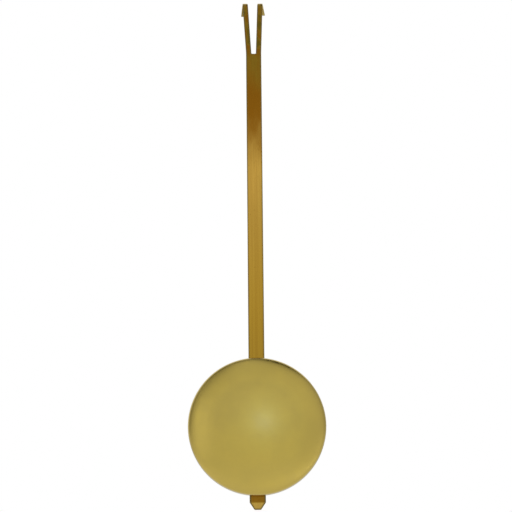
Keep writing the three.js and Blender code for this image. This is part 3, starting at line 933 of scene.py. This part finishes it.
def strap_solid(scene, layout, height):
    """One guide strap at that height: two feet on the cover, and a bridge over stick and spring."""
    clip = scene.pendulum_clip
    mid = clip.strap_bend + clip.strap_gauge / 2
    flat = layout.strap_inside - clip.strap_bend
    quarter = mid * QUARTER
    outer = clip.strap_bend + clip.strap_gauge
    top, low = layout.bridge_inside - clip.strap_bend, layout.cover_back + outer
    wall = top - low
    ends = [flat, flat + quarter, flat + quarter + wall, flat + 2 * quarter + wall]
    reach = ends[-1] + clip.foot_length

    def fold(across, along, through):
        side, run = math.copysign(1, along), abs(along)
        if run <= ends[0]:
            x, y = run, top + mid + through
        elif run <= ends[1]:
            turn = (run - ends[0]) / mid
            x, y = flat + (mid + through) * math.sin(turn), top + (mid + through) * math.cos(turn)
        elif run <= ends[2]:
            x, y = flat + mid + through, top - (run - ends[1])
        elif run <= ends[3]:
            turn = (run - ends[2]) / mid
            x = layout.strap_inside + outer - (mid - through) * math.cos(turn)
            y = low - (mid - through) * math.sin(turn)
        else:
            x, y = layout.strap_inside + outer + run - ends[3], low - mid + through
        return (side * x, y, height + across)

    outline = round_cornered(clip.strap_height / 2, reach, clip.strap_corner, CORNER_STEPS)
    rivet = reach - clip.foot_length / 2
    radius = clip.shank_diameter / 2 + clip.hole_clearance
    holes = [arc((0, side * rivet), radius, 0, math.tau, HOLE_TURNS)[:-1] for side in (-1, 1)]
    rows = spread(ends[0], ends[1], BEND_STEPS) + spread(ends[2], ends[3], BEND_STEPS)
    rows += [-row for row in rows]
    return sheet_metal(outline, holes, rows, clip.strap_gauge, clip.strap_edge, fold)


def spring_solid(scene, layout):
    """The bowed leaf spring, its ends turned out past the straps."""
    clip = scene.pendulum_clip
    strap_edge = (clip.strap_spacing - clip.strap_height) / 2
    mid = clip.spring_bend + clip.spring_gauge / 2
    tab = (clip.strap_spacing + clip.strap_height) / 2 + clip.spring_end + clip.spring_gauge / 2
    start = tab - mid
    top = layout.bridge_inside + clip.strap_gauge + clip.spring_tab
    reach = start + mid * QUARTER + top - (layout.spring_end + mid)

    def fold(across, along, through):
        side, run = math.copysign(1, along), abs(along)
        if run <= strap_edge:
            share = run / strap_edge
            slope = math.sin(math.pi * share) * clip.spring_bow * QUARTER / strap_edge
            lean = math.atan(slope)
            y = layout.spring_mid + clip.spring_bow * (1 - math.cos(math.pi * share)) / 2
            y, z = y + through * math.cos(lean), run - through * math.sin(lean)
        elif run <= start:
            y, z = layout.spring_end + through, run
        else:
            turn = min((run - start) / mid, QUARTER)
            rest = run - start - mid * turn
            near = mid - through
            y = layout.spring_end + mid - near * math.cos(turn) + rest
            z = start + near * math.sin(turn)
        return (across, y, layout.bob_centre + side * z)

    outline = round_cornered(clip.spring_width / 2, reach, clip.spring_corner, BEND_STEPS)
    rows = spread(0, strap_edge, BOW_STEPS) + spread(start, start + mid * QUARTER, BEND_STEPS)
    rows = sorted(set(rows + [-row for row in rows]))
    return sheet_metal(outline, [], rows, clip.spring_gauge, clip.spring_edge, fold)


def rivet_profile(clip, layout):
    """Profile of a rivet: set end inside the bob, shank, and a low domed head behind."""
    shank, head = clip.shank_diameter / 2, clip.head_diameter / 2
    end, front, foot = clip.set_diameter / 2, layout.cover_front, layout.foot_back
    body = rounded(
        [
            (0, front - clip.set_height, 0),
            (end, front - clip.set_height, SET_EDGE),
            (end, front, SET_FOOT),
            (shank, front, 0),
            (shank, foot, 0),
            (head, foot, HEAD_FOOT),
            (head, foot + clip.head_edge, 0),
        ]
    )
    rise = clip.head_height - clip.head_edge
    turns = spread(0, QUARTER, HEAD_STEPS)[1:-1]
    dome = [(head * math.cos(a), foot + clip.head_edge + rise * math.sin(a)) for a in turns]
    return body + dome + [(0, foot + clip.head_height)]


def front_lit():
    """What the front lamp lights: the bob's face alone, so that the stick shows no glare."""
    name = "lit_by_front_lamp"
    return bpy.data.collections.get(name) or bpy.data.collections.new(name)


class PENDULUM_OT_stick(bpy.types.Operator):
    """Builds the stick with its forked double hook and bent tail"""

    bl_idname = "pendulum.stick"
    bl_label = "Stick"

    def execute(self, context):
        sizes, layout = context.scene.pendulum_stick, Layout(context.scene)
        tail_radius = sizes.tail_bend_radius + sizes.strip_gauge / 2
        crease = layout.tail_crease
        rows = spread(0, math.pi * layout.hook_radius, HOOK_STEPS)
        rows += [layout.prong_start, crease, layout.slot_root - mm(1)]
        rows += spread(crease - tail_radius * sizes.tail_bend, crease, BEND_STEPS)[:-1]
        outline, fold = stick_outline(sizes, layout), stick_fold(sizes, layout)
        bm = sheet_metal(outline, [], rows, sizes.strip_gauge, sizes.edge_radius, fold)
        material = stick_brass(context.scene, layout)
        piece("brass_stick", bm, "stick", "pendulum_stick", material)
        return {"FINISHED"}


class PENDULUM_OT_bob_face(bpy.types.Operator):
    """Builds the bob's pressed face with its crimped lip"""

    bl_idname = "pendulum.bob_face"
    bl_label = "Bob face"

    def execute(self, context):
        scene, layout = context.scene, Layout(context.scene)
        sizes = scene.pendulum_bob
        bm = revolved(shell_profile(sizes, layout), (0, layout.bob_centre), sizes.turns)
        face = piece("bob_face", bm, "bob", "bob_face_shell", bob_brass(scene, layout))
        front_lit().objects.link(face)
        return {"FINISHED"}


class PENDULUM_OT_bob_filling(bpy.types.Operator):
    """Finishes the cast filling, which keeps its CAD shape"""

    bl_idname = "pendulum.bob_filling"
    bl_label = "Bob filling"

    def execute(self, context):
        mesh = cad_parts["bob_weight"].data
        mesh.materials.clear()
        mesh.materials.append(cast_iron(context.scene))
        return {"FINISHED"}


class PENDULUM_OT_back_cover(bpy.types.Operator):
    """Builds the bob's stepped back cover"""

    bl_idname = "pendulum.back_cover"
    bl_label = "Back cover"

    def execute(self, context):
        scene, layout = context.scene, Layout(context.scene)
        clip = scene.pendulum_clip
        bm = cover_solid(scene.pendulum_bob, layout, clip.shank_diameter / 2 + clip.hole_clearance)
        piece("back_cover", bm, "bob", "bob_back_cover", cover_brass(scene, layout))
        return {"FINISHED"}


class PENDULUM_OT_guide_straps(bpy.types.Operator):
    """Builds the two guide straps over the stick"""

    bl_idname = "pendulum.guide_straps"
    bl_label = "Guide straps"

    def execute(self, context):
        scene, layout = context.scene, Layout(context.scene)
        material = strap_brass(scene)
        for place, height in layout.strap_heights.items():
            bm = strap_solid(scene, layout, height)
            piece(f"{place}_strap", bm, "bob", f"{place}_guide_strap", material)
        return {"FINISHED"}


class PENDULUM_OT_spring(bpy.types.Operator):
    """Builds the bowed leaf spring that grips the stick"""

    bl_idname = "pendulum.spring"
    bl_label = "Leaf spring"

    def execute(self, context):
        scene, layout = context.scene, Layout(context.scene)
        bm = spring_solid(scene, layout)
        piece("leaf_spring", bm, "bob", "friction_spring", spring_steel(scene))
        return {"FINISHED"}


class PENDULUM_OT_rivets(bpy.types.Operator):
    """Builds the four rivets through the straps' feet"""

    bl_idname = "pendulum.rivets"
    bl_label = "Strap rivets"

    def execute(self, context):
        scene, layout = context.scene, Layout(context.scene)
        material = rivet_brass(scene)
        profile = rivet_profile(scene.pendulum_clip, layout)
        for place, height in layout.strap_heights.items():
            for hand, side in (("left", -1), ("right", 1)):
                bm = revolved(profile, (side * layout.rivet_x, height), RIVET_TURNS)
                node = f"{place}_{hand}_strap_rivet"
                piece(f"{place}_{hand}_rivet", bm, "bob", node, material)
        return {"FINISHED"}


def soft_lamp(name, place, target, size, strength, beam=math.pi):
    """A square soft lamp that faces a target, with its beam open by that angle.

    Its strength is how bright it looks, where 1 is white, whatever its size and beam.
    """
    lamp = bpy.data.lights.new(name, "AREA")
    lamp.shape = "SQUARE"
    lamp.size = size
    lamp.spread = beam
    share = 1.0 if beam == math.pi else 1 - beam / 2 / math.tan(beam / 2)
    lamp.energy = share * strength * math.pi * size * size
    made = linked(name, lamp)
    made.visible_camera = False
    made.location = place
    made.rotation_euler = (Vector(target) - Vector(place)).to_track_quat("-Z", "Y").to_euler()
    return made


def white_world(scene, ambient):
    """World that camera, gloss and glass see as white, while it lights softly from all round."""
    world = bpy.data.worlds.new("White surround")
    scene.world = world
    world.use_nodes = True
    world.node_tree.nodes.remove(world.node_tree.nodes["Background"])
    nodes = Nodes(world.node_tree)
    dim, white = (
        nodes.add("Background", {"Color": (1, 1, 1, 1), "Strength": strength}) for strength in (ambient, 1.0)
    )
    camera, gloss, glass = (
        nodes.add("LightPath", {}, f"Is {ray} Ray") for ray in ("Camera", "Glossy", "Transmission")
    )
    both = nodes.add("MixShader", {0: camera.most(gloss).most(glass), 1: dim, 2: white})
    nodes.show(both, "World Output")


def card(name, corners, material):
    """A flat stage card through four corners."""
    mesh = bpy.data.meshes.new(name)
    mesh.from_pydata(corners, [], [(0, 1, 2, 3)])
    mesh.materials.append(material)
    made = linked(name, mesh)
    return made


def wall(name, corners, brightness, *settings):
    """A studio wall that only gloss shows. Its brightness is a function of the place on it."""
    f = Finish(name)
    f.tree.nodes.remove(f.shader)
    f.show(f.add("Emission", {"Strength": brightness(f.place().axes(), *settings)}))
    made = card(name, corners, f.material)
    for ray in ("camera", "diffuse", "transmission", "shadow"):
        setattr(made, "visible_" + ray, False)


def front_brightness(place):
    """The wall behind the camera: a graded column in the middle, a window, and two dim corners."""
    across, _, up = place
    column = up.step(*COLUMN_RISES[0])
    for rise in COLUMN_RISES[1:]:
        column = column + up.step(*rise)
    corners = (up - across).step(*LEFT_CORNER) * (up + across).step(*RIGHT_CORNER)
    plain = (up - abs(across) * FOOT_SLOPE).step(*FRONT_RISE) * corners
    strip = across.band(*STRIP_ACROSS) * up.band(*STRIP_UP)
    plain = plain * strip.between(*STRIP_SHARES)
    window = across.band(*WINDOW_ACROSS) * up.band(*WINDOW_UP)
    return across.band(*COLUMN_BAND).blend(window.blend(plain, WINDOW_LIGHT), column)


def side_brightness(place, front, rear):
    """A side wall, given its front end and its rear, each as the brightness at the foot and above."""
    _, along, up = place
    height = up.step(*SIDE_FOOT)
    return along.step(*REAR_START).blend(height.between(*front), height.between(*rear))


def back_brightness(place):
    """The wall behind the pendulum, brighter towards its top."""
    return place[2].step(*BACK_RISE)


def ceiling_brightness(place):
    """The ceiling, dimmer to the right, above the camera, and at its left end."""
    across, along, _ = place
    sides = across.step(*CEILING_LEFT) * across.step(*CEILING_RIGHT)
    dark = across.band(*CEILING_DARK_ACROSS) * along.step(*CEILING_DARK_ALONG)
    return along.step(*CEILING_ALONG) * (sides * (1.0 - dark))


def pale_floor(stage):
    """Pale floor: it keeps the shadow nearby, fades to white far off, and is bright in gloss."""
    f = Finish("Pale floor")
    place = f.place()
    tone = place.grain(9, 3.0).mix(shaded(stage.floor_colour, 0.98), stage.floor_colour)
    f.shader.inputs["Roughness"].default_value = FLOOR_ROUGHNESS
    f.tree.links.new(tone.socket, f.shader.inputs["Base Color"])
    x, y, _ = place.axes()
    distance = (x * x + y * y).root()
    camera, gloss = (f.add("LightPath", {}, f"Is {ray} Ray") for ray in ("Camera", "Glossy"))
    far = distance.step(stage.floor_fade, stage.floor_white) * camera
    near = distance.step(*NEAR_EDGE) * x.step(*NEAR_SIDES)
    pool = distance.band(*POOL_RING) * x.step(*POOL_SIDE) * y.step(*POOL_BACK)
    shine = pool.blend(near.between(*FLOOR_LIGHT), POOL_LIGHT)
    glow = f.add("Emission", {"Strength": gloss * shine + camera})
    matt = Field(f, f.shader.outputs[0])
    f.show(f.add("MixShader", {0: far.most(gloss), 1: matt, 2: glow}))
    return f.material


class PENDULUM_OT_stage(bpy.types.Operator):
    """Builds the pale floor, the soft light, the white surround and the camera"""

    bl_idname = "pendulum.stage"
    bl_label = "Stage"

    def execute(self, context):
        scene = context.scene
        stage = scene.pendulum_stage
        scene.view_settings.view_transform = "Standard"
        white_world(scene, stage.ambient)

        half, level = stage.floor_size / 2, stage.floor_height
        corners = [(-half, -half, level), (half, -half, level), (half, half, level), (-half, half, level)]
        card("floor", corners, pale_floor(stage))

        x, y, z, end = ROOM_SIDE, -ROOM_FRONT, ROOM_TOP, RIGHT_END
        front = [(-x, y, level), (x, y, level), (x, y, z), (-x, y, z)]
        left = [(-x, y, level), (-x, y, z), (-x, 0, z), (-x, 0, level)]
        right = [(x, y, level), (x, y, z), (x, end, z), (x, end, level)]
        back = [(-x, -y, level), (x, -y, level), (x, -y, z), (-x, -y, z)]
        above = [(-x, y, z), (x, y, z), (x, 0, z), (-x, 0, z)]
        wall("front_wall", front, front_brightness)
        wall("left_wall", left, side_brightness, *LEFT_WALL)
        wall("right_wall", right, side_brightness, *RIGHT_WALL)
        wall("back_wall", back, back_brightness)
        wall("ceiling", above, ceiling_brightness)

        centre = (0, 0, Layout(scene).bob_centre)
        place, size = stage.front_lamp_place, stage.front_lamp_size
        lamp = soft_lamp("front_lamp", place, centre, size, stage.front_lamp, stage.front_lamp_beam)
        lamp.data.color = stage.front_lamp_tint
        lamp.light_linking.receiver_collection = front_lit()
        place, size = stage.shadow_lamp_place, stage.shadow_lamp_size
        lamp = soft_lamp("shadow_lamp", place, centre, size, stage.shadow_lamp)
        lamp.visible_glossy = False

        lens = bpy.data.cameras.new("photo_camera")
        lens.lens = stage.focal_length
        lens.sensor_width = SENSOR_WIDTH
        lens.clip_start, lens.clip_end = CAMERA_CLIP
        camera = linked("photo_camera", lens)
        camera.location = (stage.camera_side, -stage.camera_distance, stage.camera_height)
        aim = Euler((QUARTER + stage.camera_pitch, 0, 0)).to_matrix()
        camera.rotation_euler = (aim @ Matrix.Rotation(stage.camera_roll, 3, "Z")).to_euler()
        scene.camera = camera
        return {"FINISHED"}


class PENDULUM_PT_build(bpy.types.Panel):
    """Lists the pieces, their sizes and their colours"""

    bl_label = "Clock Pendulum"
    bl_idname = "PENDULUM_PT_build"
    bl_space_type = "VIEW_3D"
    bl_region_type = "UI"
    bl_category = "Pendulum"

    def draw(self, context):
        for operator in PIECES:
            self.layout.operator(operator.bl_idname)
        for title, group in GROUPS.items():
            box = self.layout.box()
            box.label(text=title)
            settings = getattr(context.scene, group[0])
            for name in group[1].__annotations__:
                box.prop(settings, name)


GROUPS = {
    "Stick": ("pendulum_stick", StickSizes),
    "Bob": ("pendulum_bob", BobSizes),
    "Friction clip": ("pendulum_clip", ClipSizes),
    "Finishes": ("pendulum_finish", Finishes),
    "Stage": ("pendulum_stage", StageSettings),
}
PIECES = (
    PENDULUM_OT_stage,
    PENDULUM_OT_stick,
    PENDULUM_OT_bob_face,
    PENDULUM_OT_bob_filling,
    PENDULUM_OT_back_cover,
    PENDULUM_OT_guide_straps,
    PENDULUM_OT_spring,
    PENDULUM_OT_rivets,
)


def register():
    """Registers the settings, the operators and the panel."""
    for attribute, group in GROUPS.values():
        bpy.utils.register_class(group)
        setattr(bpy.types.Scene, attribute, PointerProperty(type=group))
    for operator in PIECES:
        bpy.utils.register_class(operator)
    bpy.utils.register_class(PENDULUM_PT_build)


def unregister():
    """Takes them out again."""
    bpy.utils.unregister_class(PENDULUM_PT_build)
    for operator in reversed(PIECES):
        bpy.utils.unregister_class(operator)
    for attribute, group in GROUPS.values():
        delattr(bpy.types.Scene, attribute)
        bpy.utils.unregister_class(group)


def main():
    """Builds every piece and the stage."""
    register()
    for operator in PIECES:
        area, name = operator.bl_idname.split(".")
        getattr(getattr(bpy.ops, area), name)()


if __name__ == "__main__":
    main()
